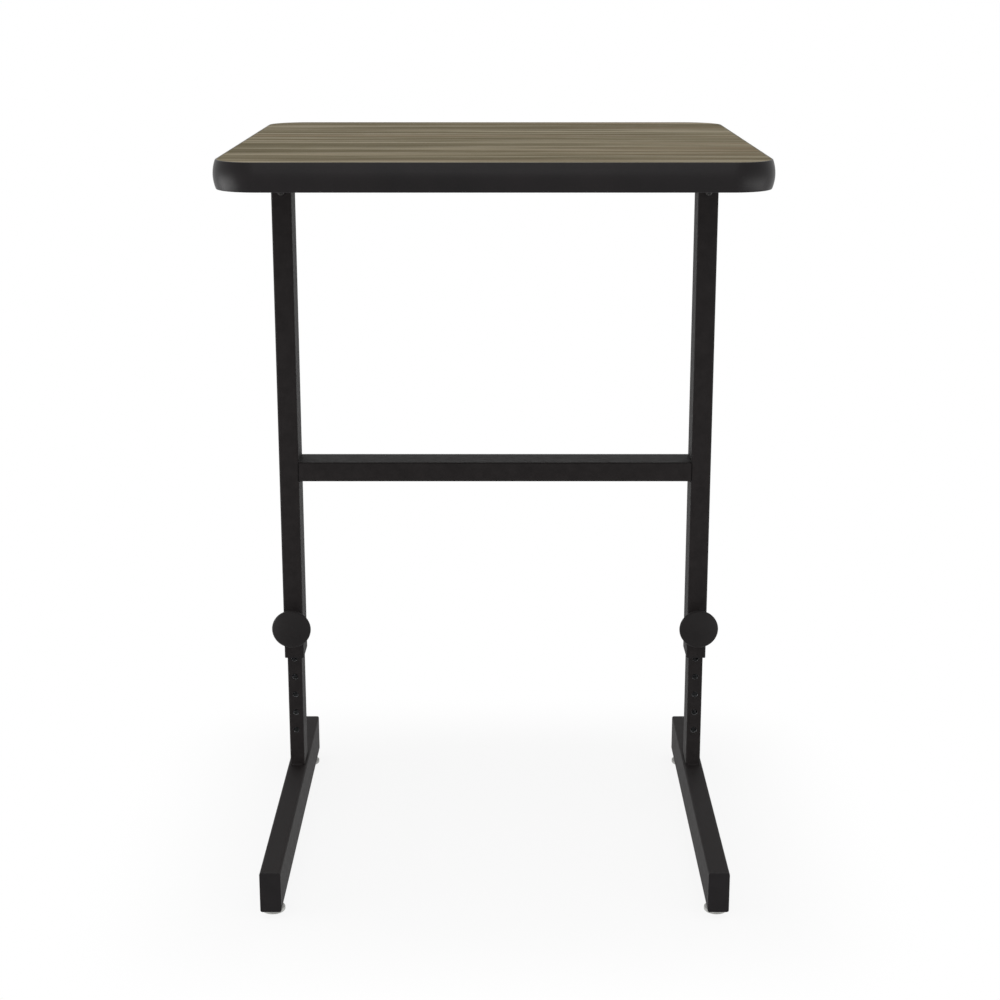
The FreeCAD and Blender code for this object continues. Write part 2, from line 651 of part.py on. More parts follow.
def make_pull_pin(side, x):
    """A spring pull pin: housing, cap, pin, spring and knob on one axis that points forward.

    The pin is drawn just clear of the inner leg, and its stroke takes it into a hole.
    """
    pin = "(sizes.hole_diameter / 2 - sizes.running_gap)"
    stem = "(sizes.stem_diameter / 2)"
    barrel = "(sizes.barrel_diameter / 2)"
    bore = "(sizes.barrel_bore / 2)"
    collar = f"({bore} - sizes.collar_gap)"
    stem_end = f"({KNOB_FRONT} - sizes.knob_cover)"
    pieces = {}
    pieces["barrel"] = turned(f"{side}_barrel", "XY_Plane", [
        (bore, f"-{BARREL_LENGTH}"),
        (barrel, f"-{BARREL_LENGTH}"),
        (barrel, "0"),
        (f"{pin} + sizes.running_gap", "0"),
        (f"{pin} + sizes.running_gap", "-sizes.barrel_floor"),
        (bore, "-sizes.barrel_floor"),
    ])
    pieces["barrel_cap"] = turned(f"{side}_barrel_cap", "XY_Plane", [
        (f"{stem} + sizes.running_gap", f"-{BARREL_LENGTH}"),
        (f"{bore} - sizes.fit_gap", f"-{BARREL_LENGTH}"),
        (f"{bore} - sizes.fit_gap", f"-{CAP_BACK}"),
        (f"{stem} + sizes.running_gap", f"-{CAP_BACK}"),
    ])
    pieces["pin"] = turned(f"{side}_pin", "XY_Plane", [
        ("0", f"-{stem_end}"),
        (stem, f"-{stem_end}"),
        (stem, f"-{COLLAR_FRONT}"),
        (collar, f"-{COLLAR_FRONT}"),
        (collar, f"-{COLLAR_BACK}"),
        (pin, f"-{COLLAR_BACK}"),
        (pin, f"{PIN_TIP} - sizes.pin_tip_chamfer"),
        (f"{pin} - sizes.pin_tip_chamfer", PIN_TIP),
        ("0", PIN_TIP),
    ])
    rim = f"(sizes.knob_diameter / 2 - {KNOB_RIM_RADIUS})"
    recess = f"({barrel} + sizes.knob_recess_gap)"
    # The dome runs smoothly into the rim: both arcs have one normal where they meet.
    dome = f"(({rim} * {rim} + sizes.knob_dome * sizes.knob_dome) / (2 * sizes.knob_dome))"
    dome_edge = f"({rim} + {KNOB_RIM_RADIUS} * {rim} / {dome})"
    dome_end = f"({KNOB_WIDEST} + {KNOB_RIM_RADIUS} * ({dome} - sizes.knob_dome) / {dome})"
    pieces["knob"] = turned(f"{side}_knob", "XY_Plane", [
        ("0", f"-{KNOB_FRONT}"),
        (dome_edge, f"-{dome_end}"),
        ("sizes.knob_diameter / 2", f"-{KNOB_WIDEST}"),
        (rim, f"-{KNOB_BACK}"),
        (recess, f"-{KNOB_BACK}"),
        (recess, f"-{KNOB_SEAT}"),
        (stem, f"-{KNOB_SEAT}"),
        (stem, f"-{stem_end}"),
        ("0", f"-{stem_end}"),
    ], {0: f"({dome} + {KNOB_RIM_RADIUS})", 1: KNOB_RIM_RADIUS, 2: KNOB_RIM_RADIUS})
    pieces["spring"] = make_spring(f"{side}_spring")
    for piece in pieces.values():
        place(piece, x, FRONT_FACE, PIN_Z)
        nodes.append(piece)


def make_spring(name):
    """A compression spring between the pin's collar and the housing's cap."""
    body = new_body(name)
    sketch = new_sketch(body, "XY_Plane")
    start = f"({COLLAR_FRONT} + sizes.fit_gap + sizes.spring_wire / 2)"
    hole(sketch, f"{SPRING_DIAMETER} / 2", f"-{start}", "sizes.spring_wire")
    coil = body.newObject("PartDesign::AdditiveHelix", f"{name}_coil")
    coil.Profile = sketch
    coil.ReferenceAxis = (sketch, ["V_Axis"])
    coil.Mode = "height-turns-angle"
    coil.Reversed = True
    coil.setExpression("Height", f"{CAP_BACK} - {start} - sizes.fit_gap - sizes.spring_wire / 2")
    coil.setExpression("Turns", "sizes.spring_turns")
    return body


def make_barrel_welds():
    """Ring beads round the spring housings, on the uprights' front faces."""
    barrel = "(sizes.barrel_diameter / 2)"
    rings = []
    for side, sign in SIDES.items():
        ring = turned(f"{side}_barrel_weld", "XY_Plane", [
            (barrel, "-sizes.barrel_weld"),
            (f"{barrel} + sizes.barrel_weld", "0"),
            (barrel, "0"),
        ])
        place(ring, f"{sign} * {LEG_X}", FRONT_FACE, PIN_Z)
        rings.append(ring)
    group("barrel_welds", rings)


def make_foot(name, x):
    """A foot: a tube along the floor with two glide holes in its lower wall."""
    body = new_body(name)
    bore_width = "(sizes.foot_width - 2 * sizes.foot_wall)"
    bore_height = "(sizes.foot_height - 2 * sizes.foot_wall)"
    bore = (bore_width, bore_height, "sizes.foot_inside_corner")
    outer = ("sizes.foot_width", "sizes.foot_height", FOOT_CORNER)
    tube(body, "XZ_Plane", outer, bore, FOOT_TUBE_LENGTH, symmetric=True)
    sketch = new_sketch(body, "XY_Plane", "-sizes.foot_height / 2")
    for sign in ENDS.values():
        hole(sketch, "0", f"{sign} * {GLIDE_Y}", "(sizes.glide_thread + 2 * sizes.running_gap)")
    pocket(body, sketch, "sizes.foot_wall + sizes.cut_margin", along_normal=True)
    place(body, x, z="sizes.glide_height + sizes.foot_height / 2")
    nodes.append(body)


def make_end_cap(name, x, sign):
    """A cap whose hollow plug sits in the foot's open end, under a flange of the foot's outline."""
    body = new_body(name)
    flange = new_sketch(body, "XZ_Plane")
    rounded_rectangle(flange, "sizes.foot_width", "sizes.foot_height", FOOT_CORNER)
    plate = pad(body, flange, "sizes.cap_flange")
    plug = new_sketch(body, "XZ_Plane")
    plug_width = "(sizes.foot_width - 2 * sizes.foot_wall - 2 * sizes.fit_gap)"
    plug_height = "(sizes.foot_height - 2 * sizes.foot_wall - 2 * sizes.fit_gap)"
    plug_corner = "(sizes.foot_inside_corner - sizes.fit_gap)"
    rounded_rectangle(plug, plug_width, plug_height, plug_corner)
    bore_width = f"({plug_width} - 2 * sizes.cap_plug_wall)"
    rounded_rectangle(plug, bore_width, f"({plug_height} - 2 * sizes.cap_plug_wall)", plug_corner)
    walls = pad(body, plug, "sizes.cap_plug", backwards=True)
    doc.recompute()
    outer_face = plate.Shape.BoundBox.YMin
    rim = [f"Edge{n}" for n, edge in enumerate(walls.Shape.Edges, start=1)
           if abs(edge.BoundBox.YMin - outer_face) + abs(edge.BoundBox.YMax - outer_face) < 1e-6]
    rounding = body.newObject("PartDesign::Fillet", f"{name}_rounding")
    rounding.Base = (walls, rim)
    rounding.setExpression("Radius", "sizes.cap_edge")
    turn = 0 if sign < 0 else 180
    body.Placement = FreeCAD.Placement(Vector(), FreeCAD.Rotation(Vector(0, 0, 1), turn))
    place(body, x, f"{sign} * {FOOT_TUBE_LENGTH} / 2", "sizes.glide_height + sizes.foot_height / 2")
    nodes.append(body)


def make_glide(name, x, y):
    """A levelling glide: a pad with a round socket, and the threaded stem that turns in it."""
    pad_radius = "(sizes.pad_diameter / 2)"
    hub = f"({SOCKET_RADIUS} + sizes.pad_hub_wall)"
    pad_piece = turned(f"{name}_glide_pad", "XZ_Plane", [
        ("0", "0"),
        (f"{pad_radius} - sizes.pad_edge", "0"),
        (pad_radius, "sizes.pad_edge"),
        (pad_radius, "sizes.pad_rim"),
        (hub, "sizes.pad_shoulder"),
        (hub, "sizes.pad_hub_height"),
        (SOCKET_RADIUS, "sizes.pad_hub_height"),
        (SOCKET_RADIUS, "sizes.pad_floor"),
        ("0", "sizes.pad_floor"),
    ], {1: "sizes.pad_edge"})
    flange = "(sizes.glide_flange_diameter / 2)"
    flange_top = f"({FLANGE_BASE} + sizes.glide_flange_thickness)"
    thread = "(sizes.glide_thread / 2)"
    stem_end = f"({FLANGE_BASE} + sizes.glide_stem_length)"
    stem_piece = turned(f"{name}_glide_stem", "XZ_Plane", [
        ("0", FLANGE_BASE),
        (flange, FLANGE_BASE),
        (flange, flange_top),
        (thread, flange_top),
        (thread, f"{stem_end} - sizes.glide_stem_chamfer"),
        (f"{thread} - sizes.glide_stem_chamfer", stem_end),
        ("0", stem_end),
    ])
    for piece in (pad_piece, stem_piece):
        place(piece, x, y)
        nodes.append(piece)


def make_glide_nuts(side, x):
    """Hexagon nuts welded inside a foot over its glide holes."""
    nuts = []
    for end, sign in ENDS.items():
        nut = new_body(f"{side}_{end}_glide_nut")
        sketch = new_sketch(nut, "XY_Plane")
        hexagon(sketch, "sizes.nut_width")
        hole(sketch, "0", "0", "(sizes.glide_thread + 2 * sizes.running_gap)")
        pad(nut, sketch, "sizes.nut_height")
        place(nut, x, f"{sign} * {GLIDE_Y}", "sizes.glide_height + sizes.foot_wall")
        nuts.append(nut)
    group(f"{side}_glide_nuts", nuts)


make_top()
make_edge_moulding()
make_top_screws()
make_plug_screws()
make_crossbar()
make_crossbar_welds()
make_barrel_welds()
for side, side_sign in SIDES.items():
    leg_x = f"{side_sign} * {LEG_X}"
    make_top_plate(f"{side}_top_plate", leg_x)
    make_plug(f"{side}_plug", leg_x)
    make_upright(f"{side}_upright", leg_x)
    make_bush(f"{side}_bush", leg_x)
    make_pull_pin(side, leg_x)
    make_inner_leg(f"{side}_inner_leg", leg_x)
    make_guide_cap(f"{side}_guide_cap", leg_x)
    make_foot(f"{side}_foot", leg_x)
    make_leg_welds(side, leg_x)
    make_glide_nuts(side, leg_x)
    for end, end_sign in ENDS.items():
        make_end_cap(f"{side}_{end}_end_cap", leg_x, end_sign)
        make_glide(f"{side}_{end}", leg_x, f"{end_sign} * {GLIDE_Y}")
doc.recompute()

failed = [thing.Name for thing in doc.Objects if {"Invalid", "Error"} & set(thing.State)]
if failed:
    raise RuntimeError(f"failed objects: {failed}")
for node in nodes:
    if node.Shape.isNull() or not node.Shape.isValid() or not node.Shape.Solids:
        raise RuntimeError(f"bad shape: {node.Label}")

os.makedirs("parts", exist_ok=True)
for node in nodes:
    node.Shape.exportStep(f"parts/{node.Label}.step")
print(f"{len(nodes)} nodes")
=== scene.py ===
import math

import bmesh
import bpy
import numpy as np
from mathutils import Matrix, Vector


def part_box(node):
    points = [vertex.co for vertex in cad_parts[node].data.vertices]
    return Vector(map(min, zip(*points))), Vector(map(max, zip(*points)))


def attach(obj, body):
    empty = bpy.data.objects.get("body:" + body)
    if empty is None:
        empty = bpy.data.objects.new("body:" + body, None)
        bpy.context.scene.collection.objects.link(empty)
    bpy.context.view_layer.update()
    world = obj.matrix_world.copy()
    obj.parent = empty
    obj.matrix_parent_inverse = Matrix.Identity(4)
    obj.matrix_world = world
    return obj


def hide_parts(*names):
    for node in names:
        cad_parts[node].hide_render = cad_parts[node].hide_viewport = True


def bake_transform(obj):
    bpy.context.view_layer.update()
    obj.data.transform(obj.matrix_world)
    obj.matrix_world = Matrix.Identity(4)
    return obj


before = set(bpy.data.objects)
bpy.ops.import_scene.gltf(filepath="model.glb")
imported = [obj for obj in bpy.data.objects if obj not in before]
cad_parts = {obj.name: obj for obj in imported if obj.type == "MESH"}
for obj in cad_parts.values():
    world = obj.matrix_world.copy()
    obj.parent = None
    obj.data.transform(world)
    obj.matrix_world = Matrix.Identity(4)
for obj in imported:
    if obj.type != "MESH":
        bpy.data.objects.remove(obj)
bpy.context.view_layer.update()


# Feet
# Two long rectangular steel tubes just above the floor, one under each leg.
# Cut from welded tube and powder-coated black, with a fine orange-peel skin.

NOISE_LOW = 0.25
NOISE_HIGH = 0.75


def colour(red, green, blue):
    """The linear colour of an 8-bit screen colour: straight near black, then a power of 2.4."""
    screen = np.array([red, green, blue]) / 255
    linear = np.where(screen <= 0.04045, screen / 12.92, ((screen + 0.055) / 1.055) ** 2.4)
    return (*linear.tolist(), 1.0)


def new_finish(name, roughness, specular, metallic=0.0):
    """A material with one shader: returns the material, its node tree and the shader."""
    finish = bpy.data.materials.new(name)
    finish.use_nodes = True
    shader = finish.node_tree.nodes["Principled BSDF"]
    shader.inputs["Roughness"].default_value = roughness
    shader.inputs["Specular IOR Level"].default_value = specular
    shader.inputs["Metallic"].default_value = metallic
    return finish, finish.node_tree, shader


def speckle(tree, cycles, detail=2.0, distortion=0.0):
    """Noise from 0 to 1 with so many cycles a metre: one number, or one each along X, Y and Z."""
    place = tree.nodes.new("ShaderNodeTexCoord")
    stretch = tree.nodes.new("ShaderNodeMapping")
    stretch.inputs["Scale"].default_value = np.broadcast_to(cycles, 3).tolist()
    noise = tree.nodes.new("ShaderNodeTexNoise")
    noise.inputs["Scale"].default_value = 1.0
    noise.inputs["Detail"].default_value = detail
    noise.inputs["Distortion"].default_value = distortion
    tree.links.new(place.outputs["Object"], stretch.inputs["Vector"])
    tree.links.new(stretch.outputs["Vector"], noise.inputs["Vector"])
    return noise.outputs["Fac"]


def worked(tree, operation, *amounts):
    """The result of one operation on amounts, each a number or another node's output."""
    step = tree.nodes.new("ShaderNodeMath")
    step.operation = operation
    for socket, amount in zip(step.inputs, amounts):
        if isinstance(amount, float):
            socket.default_value = amount
        else:
            tree.links.new(amount, socket)
    return step.outputs["Value"]


def blend_of(tree, first, second, share):
    """Two amounts mixed: first + share times (second less a half)."""
    return worked(tree, "MULTIPLY_ADD", worked(tree, "SUBTRACT", second, 0.5), share, first)


def ranged(tree, amount, start, end, low, high, way="LINEAR"):
    """A number that runs from low to high as an amount goes from start to end, and stays within them."""
    span = tree.nodes.new("ShaderNodeMapRange")
    span.interpolation_type = way
    for name, value in (("From Min", start), ("From Max", end), ("To Min", low), ("To Max", high)):
        span.inputs[name].default_value = value
    tree.links.new(amount, span.inputs["Value"])
    return span.outputs["Result"]


def tones(tree, amount, *stops):
    """A colour that runs through (position, colour) stops as an amount goes from 0 to 1."""
    ramp = tree.nodes.new("ShaderNodeValToRGB")
    first, last = ramp.color_ramp.elements
    first.position, first.color = stops[0]
    last.position, last.color = stops[-1]
    for position, tone in stops[1:-1]:
        ramp.color_ramp.elements.new(position).color = tone
    tree.links.new(amount, ramp.inputs["Fac"])
    return ramp.outputs["Color"]


def paint(tree, shader, amount, *stops):
    """A base colour that runs through (position, colour) stops as an amount goes from 0 to 1."""
    tree.links.new(tones(tree, amount, *stops), shader.inputs["Base Color"])


def uneven_gloss(tree, shader, noise, spread):
    """Roughness that strays by a spread to each side of the shader's own, following a noise."""
    roughness = shader.inputs["Roughness"]
    low = roughness.default_value - spread
    high = roughness.default_value + spread
    tree.links.new(ranged(tree, noise, NOISE_LOW, NOISE_HIGH, low, high), roughness)


def relief(tree, shader, amount, height):
    """Bumps of a real height, in metres."""
    bump = tree.nodes.new("ShaderNodeBump")
    bump.inputs["Distance"].default_value = height
    tree.links.new(amount, bump.inputs["Height"])
    tree.links.new(bump.outputs["Normal"], shader.inputs["Normal"])


def powder_coat(name):
    """Black powder coat: near-black, faintly mottled and flecked, with an orange peel about 1 mm across."""
    finish, tree, shader = new_finish(name, roughness=0.65, specular=0.12)
    flecks = speckle(tree, 2400.0, detail=1.0)
    mottle = blend_of(tree, speckle(tree, 90.0, detail=4.0), flecks, share=0.7)
    paint(tree, shader, mottle, (NOISE_LOW, colour(22, 19, 19)), (NOISE_HIGH, colour(33, 30, 30)))
    uneven_gloss(tree, shader, mottle, spread=0.05)
    relief(tree, shader, speckle(tree, 1000.0), height=0.00014)
    return finish


def coat(finish, *names):
    """Give CAD nodes one finish."""
    for name in names:
        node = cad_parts[name]
        node.data.materials.clear()
        node.data.materials.append(finish)


SIDES = ("left", "right")
BLACK_COAT = powder_coat("powder_coat")
coat(BLACK_COAT, *(f"{side}_foot" for side in SIDES))


# Glide nuts and glide stems
# Each foot holds two hexagon nuts, welded over holes in its lower wall, and a threaded stem runs in each.
# Turned and rolled from mild steel, and bright zinc plated.

MERGE_DISTANCE = 1e-7
SHARP_EDGE = 32


def zinc_plate():
    """Bright zinc plate: a cool metal with soft grey clouding and faint turning marks."""
    finish, tree, shader = new_finish("zinc_plate", roughness=0.35, specular=0.5, metallic=1.0)
    cloud = speckle(tree, 140.0, detail=5.0)
    paint(tree, shader, cloud, (0.3, colour(176, 178, 181)), (0.7, colour(208, 208, 206)))
    uneven_gloss(tree, shader, cloud, spread=0.07)
    relief(tree, shader, speckle(tree, (500.0, 500.0, 4000.0)), height=0.00001)
    return finish


def added(name, data):
    """A new object at the origin, in the scene."""
    piece = bpy.data.objects.new(name, data)
    bpy.context.scene.collection.objects.link(piece)
    return piece


def skin(name, finish, *grids, loop_rows=False, caps=False):
    """A piece from grids of points whose columns loop: each four neighbours make a face.

    loop_rows joins the last row to the first, and caps close the first and last rows.
    """
    points, faces, base = [], [], 0
    for grid in grids:
        rows, columns = grid.shape[:2]
        number = base + np.arange(rows * columns).reshape(rows, columns)
        ring = np.concatenate([number, number[:, :1]], axis=1)
        if loop_rows:
            ring = np.concatenate([ring, ring[:1]])
        quads = np.stack([ring[:-1, :-1], ring[:-1, 1:], ring[1:, 1:], ring[1:, :-1]], axis=-1)
        faces += quads.reshape(-1, 4).tolist()
        if caps:
            faces += [number[0].tolist(), number[-1].tolist()]
        points.append(grid.reshape(-1, 3))
        base += rows * columns
    mesh = bpy.data.meshes.new(name)
    mesh.from_pydata(np.concatenate(points).tolist(), [], faces)
    shape = bmesh.new()
    shape.from_mesh(mesh)
    bmesh.ops.remove_doubles(shape, verts=shape.verts, dist=MERGE_DISTANCE)
    bmesh.ops.recalc_face_normals(shape, faces=shape.faces)
    shape.to_mesh(mesh)
    shape.free()
    mesh.shade_smooth()
    mesh.set_sharp_from_angle(angle=math.radians(SHARP_EDGE))
    mesh.materials.append(finish)
    return added(name, mesh)


def round_turn(radius, height, centre, axis, steps=96):
    """Points of a turned shape: centre + height along the axis + radius times the circle square to the axis.

    radius holds one number for each row, or one for each row and step of the turn.
    """
    axis = np.array(axis, float)
    side = np.array([1.0, 0.0, 0.0])
    angle = np.linspace(0, 2 * math.pi, steps, endpoint=False)
    circle = np.cos(angle)[:, None] * side + np.sin(angle)[:, None] * np.cross(axis, side)
    radius = np.broadcast_to(np.asarray(radius, float).reshape(len(height), -1), (len(height), steps))
    return np.array(centre) + np.asarray(height)[:, None, None] * axis + radius[:, :, None] * circle


def middle(name):
    """The middle of a CAD node's box."""
    low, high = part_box(name)
    return np.array((low + high) / 2)


THREAD_PITCH = 0.00125
THREAD_DEPTH = 0.00072
THREAD_FLAT = 0.1875
THREAD_STEPS = 48
ROWS_PER_PITCH = 10
STEM_FLANGE_RADIUS = 0.0055
STEM_FLANGE_HEIGHT = 0.0025
STEM_FLANGE_ROUND = 0.0004
STEM_RADIUS = 0.0039
STEM_CHAMFER = 0.0008


def glide_stem(name):
    """A stem with a flange at its foot and a right-hand thread.

    A point's phase is its height in pitches less its angle in turns, with whole turns left out. The groove
    is deepest at phase 0 and nothing at the crest, half a turn on, with a flat at both and a straight flank
    between. It fades out in the first and last pitch.
    """
    low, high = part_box(name)
    length = high.z - low.z
    flange_edge = STEM_FLANGE_RADIUS - STEM_FLANGE_ROUND
    flange = np.array([
        [0.0, 0.0], [flange_edge, 0.0], [STEM_FLANGE_RADIUS, STEM_FLANGE_ROUND],
        [STEM_FLANGE_RADIUS, STEM_FLANGE_HEIGHT - STEM_FLANGE_ROUND],
        [flange_edge, STEM_FLANGE_HEIGHT], [STEM_RADIUS, STEM_FLANGE_HEIGHT],
    ])
    threaded = length - STEM_CHAMFER - STEM_FLANGE_HEIGHT
    rows = int(threaded / THREAD_PITCH * ROWS_PER_PITCH)
    along = np.linspace(0, threaded, rows + 1)[1:]
    shank = np.stack([np.full(rows, STEM_RADIUS), STEM_FLANGE_HEIGHT + along], axis=1)
    tip = np.array([[STEM_RADIUS - STEM_CHAMFER, length], [0.0, length]])
    profile = np.concatenate([flange, shank, tip])
    turn = np.linspace(0, 1, THREAD_STEPS, endpoint=False)
    phase = (along[:, None] / THREAD_PITCH - turn) % 1.0
    flank = (np.abs(2 * phase - 1) - THREAD_FLAT) / (1 - 2 * THREAD_FLAT)
    fade = np.clip(np.minimum(along, threaded - along) / THREAD_PITCH, 0, 1)[:, None]
    radius = np.repeat(profile[:, :1], THREAD_STEPS, axis=1)
    radius[len(flange):len(flange) + rows] -= np.clip(flank, 0, 1) * THREAD_DEPTH * fade
    foot = (*middle(name)[:2], low.z)
    grid = round_turn(radius, profile[:, 1], foot, (0, 0, 1), THREAD_STEPS)
    return skin(name.replace("stem", "threaded_stem"), ZINC, grid)


ZINC = zinc_plate()
coat(ZINC, *(f"{side}_glide_nuts" for side in SIDES))
CORNERS = [f"{side}_{end}" for side in SIDES for end in ("front", "rear")]
for corner in CORNERS:
    stem = glide_stem(f"{corner}_glide_stem")
    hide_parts(f"{corner}_glide_stem")
    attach(stem, f"{corner}_glide_screw")


# Glide pads
# The pale feet that stand on the floor: a broad disc with a hub that snaps over the stem's flange.
# Injection moulded in light grey nylon, with rounded edges.

def moulded(name, low_tone, high_tone, roughness, specular, grain):
    """Moulded plastic: two close tones and the fine spark-eroded grain of the mould, in cycles a metre."""
    finish, tree, shader = new_finish(name, roughness, specular)
    cloud = speckle(tree, 60.0, detail=3.0)
    paint(tree, shader, cloud, (0.3, low_tone), (0.7, high_tone))
    uneven_gloss(tree, shader, cloud, spread=0.05)
    relief(tree, shader, speckle(tree, grain), height=0.00002)
    return finish


def arc(centre, radius, start, end, steps=10):
    """Points on an arc of a profile: centre + radius times (cos, sin), between two angles in degrees."""
    angle = np.radians(np.linspace(start, end, steps))
    return np.array(centre) + radius * np.stack([np.cos(angle), np.sin(angle)], axis=1)


PAD_RADIUS = 0.0143
PAD_FOOT_ROUND = 0.0015
PAD_RIM_HEIGHT = 0.0045
PAD_RIM_ROUND = 0.0009
PAD_RIM_TURN = 76
PAD_SHOULDER = 0.006
PAD_HUB_RADIUS = 0.008
PAD_HUB_HEIGHT = 0.007
PAD_HUB_ROUND = 0.0005
PAD_SOCKET_RADIUS = 0.0058
PAD_FLOOR = 0.002
GREY_NYLON = moulded("grey_nylon", colour(184, 184, 181), colour(198, 198, 194),
                     roughness=0.5, specular=0.4, grain=2500.0)
hub_edge = PAD_HUB_HEIGHT - PAD_HUB_ROUND
# Half a section, as (radius, height) points: out along the sole, over the rim and the hub, down the socket.
pad_profile = np.concatenate([
    [[0.0, 0.0]],
    arc((PAD_RADIUS - PAD_FOOT_ROUND, PAD_FOOT_ROUND), PAD_FOOT_ROUND, -90, 0),
    arc((PAD_RADIUS - PAD_RIM_ROUND, PAD_RIM_HEIGHT - PAD_RIM_ROUND), PAD_RIM_ROUND, 0, PAD_RIM_TURN),
    [[PAD_HUB_RADIUS, PAD_SHOULDER]],
    arc((PAD_HUB_RADIUS - PAD_HUB_ROUND, hub_edge), PAD_HUB_ROUND, 0, 90, steps=6),
    arc((PAD_SOCKET_RADIUS + PAD_HUB_ROUND, hub_edge), PAD_HUB_ROUND, 90, 180, steps=6),
    [[PAD_SOCKET_RADIUS, PAD_FLOOR], [0.0, PAD_FLOOR]],
])
for corner in CORNERS:
    node = f"{corner}_glide_pad"
    pad_foot = (*middle(node)[:2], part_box(node)[0].z)
    pad_grid = round_turn(pad_profile[:, 0], pad_profile[:, 1], pad_foot, (0, 0, 1))
    pad = skin(f"{corner}_floor_pad", GREY_NYLON, pad_grid)
    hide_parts(node)
    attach(pad, f"{corner}_glide_foot")


# End caps
# Four plugs that close the feet's open ends, each with a flange of the tube's own outline.
# Injection moulded in black nylon and pressed in by hand.

BLACK_NYLON = moulded("black_nylon", colour(25, 23, 24), colour(30, 28, 29),
                      roughness=0.6, specular=0.12, grain=2200.0)
coat(BLACK_NYLON, *(f"{corner}_end_cap" for corner in CORNERS))


# Inner legs, their welds and their guide caps
# Narrower tubes with a row of pin holes in front, welded on the feet before and behind, then powder-coated.
# A nylon cap in each top end runs inside the upright.

BEAD_POINTS = 13
BEAD_FLATNESS = 0.6
RIPPLE_LENGTH = 0.0016
RIPPLE_STEPS = 8
RIPPLE_DEPTH = 0.13
RIPPLE_BOW = 0.45
RIPPLE_CREST = 0.6


def weld_bead(corner_line, first, second, leg, length, closed):
    """Points of a fillet weld in the corner between two faces, whose ways are given at each point.

    At each point of the corner's line the section goes from the corner along the first face, round a bulge
    to the second face and back. At angle a from the first face the bulge's reach is the leg over
    (cos a + sin a) to the power of the flatness: 0 is a quarter circle and 1 a flat face. Ripples take off
    the depth times sin 2a times a power of |sin| of half a turn of their phase, which is the distance along
    the line in ripples plus the bow times sin 2a. An open bead's ends taper like an ellipse.
    """
    across = np.linspace(0, math.pi / 2, BEAD_POINTS)
    along = np.linspace(0, 1, len(corner_line), endpoint=not closed)
    reach = leg / (np.cos(across) + np.sin(across)) ** BEAD_FLATNESS
    phase = along[:, None] * length / RIPPLE_LENGTH + RIPPLE_BOW * np.sin(2 * across)
    ripple = 1 - RIPPLE_DEPTH * np.sin(2 * across) * np.abs(np.sin(math.pi * phase)) ** RIPPLE_CREST
    end = np.clip(np.minimum(along, 1 - along) * length / leg, 0, 1)
    taper = np.ones(len(along)) if closed else np.sqrt(1 - (1 - end) ** 2)
    size = reach * ripple * taper[:, None]
    bulge = (corner_line[:, None] + (size * np.cos(across))[:, :, None] * first[:, None]
             + (size * np.sin(across))[:, :, None] * second[:, None])
    return np.concatenate([corner_line[:, None], bulge], axis=1)


def straight_weld(start, end, first, second, leg):
    """A straight bead from one end of a corner to the other, the faces' ways given as unit vectors."""
    start, end = np.array(start, float), np.array(end, float)
    length = float(np.linalg.norm(end - start))
    share = np.linspace(0, 1, int(length / RIPPLE_LENGTH * RIPPLE_STEPS))
    line = start + share[:, None] * (end - start)
    first = np.tile(np.array(first, float), (len(line), 1))
    second = np.tile(np.array(second, float), (len(line), 1))
    return weld_bead(line, first, second, leg, length, closed=False)


def place_along(tree, axis):
    """A point's place along one axis of the desk, in metres."""
    place = tree.nodes.new("ShaderNodeTexCoord")
    part = tree.nodes.new("ShaderNodeSeparateXYZ")
    tree.links.new(place.outputs["Object"], part.inputs["Vector"])
    return part.outputs[axis]


def laid_over(tree, under, tone, share):
    """A colour with a plain tone laid over it, by a share from 0 to 1."""
    mix = tree.nodes.new("ShaderNodeMix")
    mix.data_type = "RGBA"
    # The node's colours are its inputs 6 and 7 and its output 2; its other sockets mix numbers and vectors.
    tree.links.new(share, mix.inputs[0])
    tree.links.new(under, mix.inputs[6])
    mix.inputs[7].default_value = tone
    return mix.outputs[2]


GALVANISED = colour(176, 178, 180)
COAT_REACH = 0.00075


def coated_outside(name):
    """The powder coat on the outside of both tubes, and bare galvanised steel within.

    The coat reaches about halfway through the wall in the pin holes. A point is within where its distance
    from the tube's middle, along X and along Y, is under the tube's half width less that reach. The tubes
    mirror each other, so X is taken without its sign.
    """
    finish = powder_coat("powder_coat_on_galvanised")
    tree = finish.node_tree
    base_colour = tree.nodes["Principled BSDF"].inputs["Base Color"]
    outside = base_colour.links[0].from_socket
    low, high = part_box(name)
    across = worked(tree, "ABSOLUTE", place_along(tree, "X"))
    shares = []
    for place, near, far in ((across, low.x, high.x), (place_along(tree, "Y"), low.y, high.y)):
        away = worked(tree, "ABSOLUTE", worked(tree, "SUBTRACT", place, (near + far) / 2))
        shares.append(worked(tree, "DIVIDE", away, (far - near) / 2 - COAT_REACH))
    within = worked(tree, "LESS_THAN", worked(tree, "MAXIMUM", *shares), 1.0)
    tree.links.new(laid_over(tree, outside, GALVANISED, within), base_colour)
    return finish


LEG_WELD = 0.0018
coat(coated_outside("right_inner_leg"), *(f"{side}_inner_leg" for side in SIDES))
coat(BLACK_NYLON, *(f"{side}_guide_cap" for side in SIDES))
for side in SIDES:
    leg_low, leg_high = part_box(f"{side}_inner_leg")
    weld_low, weld_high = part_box(f"{side}_leg_welds")
    beads = [straight_weld((weld_low.x, face, leg_low.z), (weld_high.x, face, leg_low.z),
                           (0, way, 0), (0, 0, 1), LEG_WELD)
             for face, way in ((leg_low.y, -1), (leg_high.y, 1))]
    weld = skin(f"{side}_leg_weld_beads", BLACK_COAT, *beads)
    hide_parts(f"{side}_leg_welds")
    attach(weld, f"{side}_base")


